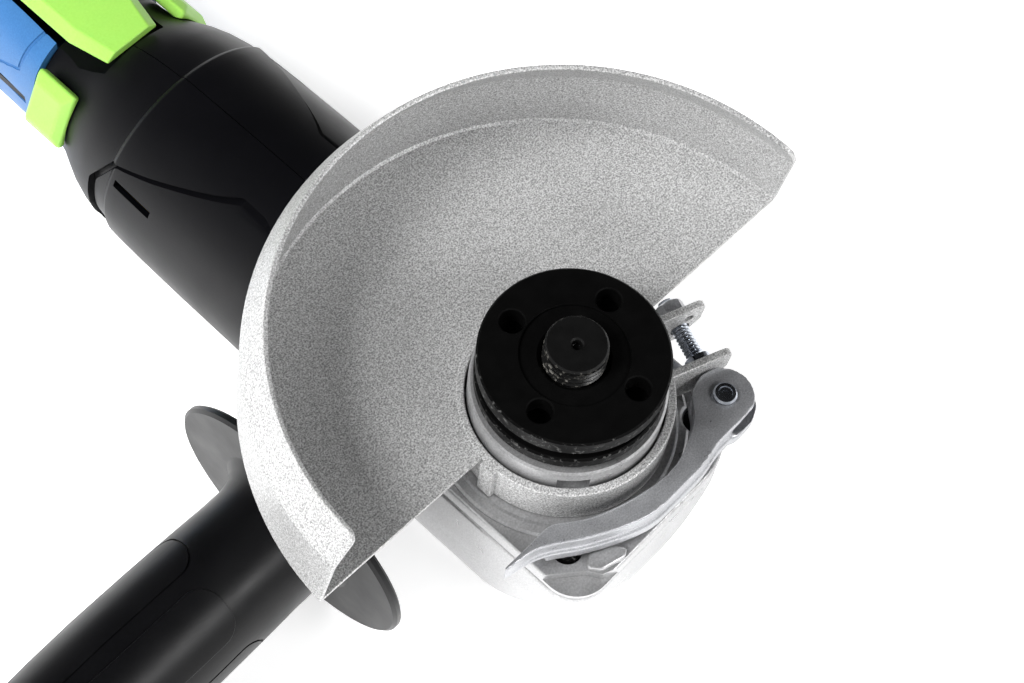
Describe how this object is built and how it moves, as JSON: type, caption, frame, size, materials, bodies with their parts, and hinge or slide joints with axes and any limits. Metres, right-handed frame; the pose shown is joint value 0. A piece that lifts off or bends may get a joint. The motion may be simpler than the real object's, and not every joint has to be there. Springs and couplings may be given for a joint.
{
  "type": "angle grinder",
  "caption": "Corded angle grinder with a half-cup wheel guard on a quick-release band clamp, a screwed-in side handle and a long paddle switch, without wheel or cord.",
  "frame": {"origin": "where the spindle axis meets the flat top of the gear head, on which the tool rests upside down", "axes": "+Z along the spindle towards its threaded end, +Y towards the rear handle, side handle on -X"},
  "size_m": [0.2378, 0.313, 0.1002],
  "materials": {
    "cast_aluminium": "shot-blasted die casting",
    "steel": "turned and plated",
    "button_plastic": "moulded",
    "spring_steel": "drawn wire",
    "spindle_steel": "blackened and turned",
    "gear_steel": "hardened and ground",
    "bush_bronze": "sintered bronze",
    "bearing_steel": "ground",
    "black_oxide": "satin black oxide",
    "guard_paint": "grainy silver paint",
    "zinc_plate": "bright zinc plate",
    "lever_zinc": "tumbled zinc casting",
    "handle_rubber": "satin moulded",
    "shaft_steel": "ground",
    "lamination": "stacked electrical steel",
    "copper_wire": "enamelled copper wire",
    "commutator_copper": "turned copper",
    "fan_plastic": "moulded",
    "brass": "pressed brass",
    "carbon": "pressed carbon",
    "housing_plastic": "satin moulded polyamide",
    "blue_plastic": "satin moulded polyamide",
    "inlay_rubber": "soft moulded",
    "lime_plastic": "satin moulded",
    "switch_plastic": "moulded",
    "inlet_rubber": "moulded"
  },
  "bodies": {
    "root": {"gear_case": "cast_aluminium", "bearing_cover": "cast_aluminium", "cover_screw_1": "steel", "cover_screw_2": "steel", "cover_screw_3": "steel", "cover_screw_4": "steel", "housing_screw_1": "steel", "housing_screw_2": "steel", "housing_screw_3": "steel", "housing_screw_4": "steel", "spindle_bush": "bush_bronze", "spindle_bearing": "bearing_steel", "front_bearing": "bearing_steel", "rear_bearing": "bearing_steel", "stator_core": "lamination", "field_coil_left": "copper_wire", "field_coil_right": "copper_wire", "brush_holder_left": "brass", "brush_holder_right": "brass", "brush_left": "carbon", "brush_right": "carbon", "housing_left": "housing_plastic", "housing_right": "housing_plastic", "handle_shell_left": "blue_plastic", "handle_shell_right": "blue_plastic", "shell_screw_1": "zinc_plate", "shell_screw_2": "zinc_plate", "shell_screw_3": "zinc_plate", "grip_inlay_left": "inlay_rubber", "grip_inlay_right": "inlay_rubber", "bumper_left": "lime_plastic", "bumper_right": "lime_plastic", "switch_body": "switch_plastic", "cord_inlet": "inlet_rubber", "paddle_pin": "zinc_plate", "paddle_spring": "spring_steel", "lock_spring": "spring_steel"},
    "spindle": {"spindle": "spindle_steel", "crown_gear": "gear_steel", "gear_circlip": "spring_steel", "inner_flange": "black_oxide"},
    "nut": {"wheel_nut": "black_oxide"},
    "armature": {"armature_shaft": "shaft_steel", "armature_core": "lamination", "winding_front": "copper_wire", "winding_rear": "copper_wire", "commutator": "commutator_copper", "pinion": "gear_steel", "cooling_fan": "fan_plastic"},
    "guard": {"guard_shell": "guard_paint", "guard_band": "guard_paint", "clamp_screw": "zinc_plate", "clamp_nut": "zinc_plate", "lever_pin": "zinc_plate"},
    "lever": {"clamp_lever": "lever_zinc"},
    "side_handle": {"side_handle_grip": "handle_rubber", "side_handle_stud": "zinc_plate"},
    "paddle": {"switch_paddle": "lime_plastic"},
    "plunger": {"switch_plunger": "switch_plastic"},
    "lock": {"lock_button": "button_plastic"}
  },
  "joints": [
    {"name": "spindle_spin", "type": "hinge", "parent": "root", "child": "spindle", "pos_m": [0, 0, 0], "axis": [0, 0, 1], "continuous": true},
    {"name": "armature_spin", "type": "hinge", "parent": "root", "child": "armature", "pos_m": [0, 0.06, 0.0315], "axis": [0, 1, 0], "continuous": true},
    {"name": "nut_release", "type": "slide", "parent": "spindle", "child": "nut", "axis": [0, 0, 1], "range_m": [0, 0.016]},
    {"name": "guard_turn", "type": "hinge", "parent": "root", "child": "guard", "pos_m": [0, 0, 0.062], "axis": [0, 0, 1], "range_deg": [-80, 70]},
    {"name": "lever_open", "type": "hinge", "parent": "guard", "child": "lever", "pos_m": [0.02593, -0.02452, 0.0615], "axis": [0, 0, 1], "range_deg": [0, 120]},
    {"name": "side_handle_release", "type": "slide", "parent": "root", "child": "side_handle", "axis": [-1, 0, 0], "range_m": [0, 0.025]},
    {"name": "paddle_press", "type": "hinge", "parent": "root", "child": "paddle", "pos_m": [0, 0.262, 0.049], "axis": [1, 0, 0], "range_deg": [0, 2.2], "stiffness_Nm_per_rad": 6, "springref_deg": -2.86, "deforming": ["paddle_spring"]},
    {"name": "plunger_press", "type": "slide", "parent": "root", "child": "plunger", "axis": [0, 0, -1], "range_m": [0, 0.0028]},
    {"name": "lock_press", "type": "slide", "parent": "root", "child": "lock", "axis": [0, 0, 1], "range_m": [0, 0.004], "stiffness_N_per_m": 700, "springref_m": -0.002, "deforming": ["lock_spring"]}
  ],
  "couplings": [
    {"joint": "armature_spin", "follows": "spindle_spin", "ratio": -3.1111},
    {"joint": "plunger_press", "follows": "paddle_press", "m_per_rad": 0.067}
  ]
}
